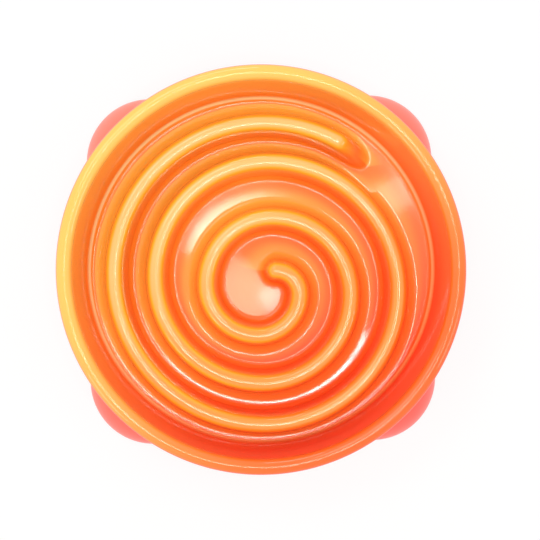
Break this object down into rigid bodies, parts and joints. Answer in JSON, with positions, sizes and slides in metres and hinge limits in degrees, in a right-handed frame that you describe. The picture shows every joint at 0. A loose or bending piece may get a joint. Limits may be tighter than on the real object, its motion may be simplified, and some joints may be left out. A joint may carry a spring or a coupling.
{
  "type": "slow feeder bowl",
  "caption": "Round pet bowl with a rolled rim, a spiral ridge on its floor that slows eating, flared feet and soft foot pads.",
  "frame": {"origin": "on the table, under the middle of the round rim", "axes": "+Z up out of the bowl, +X to the right and +Y up in the picture, which looks straight down"},
  "size_m": [0.29, 0.29, 0.066],
  "materials": {
    "bowl_plastic": "glossy, slightly translucent orange",
    "pad_rubber": "soft matte salmon"
  },
  "bodies": {
    "root": {"bowl": "bowl_plastic", "foot_pad_back_right": "pad_rubber", "foot_pad_back_left": "pad_rubber", "foot_pad_front_left": "pad_rubber", "foot_pad_front_right": "pad_rubber"}
  },
  "joints": []
}
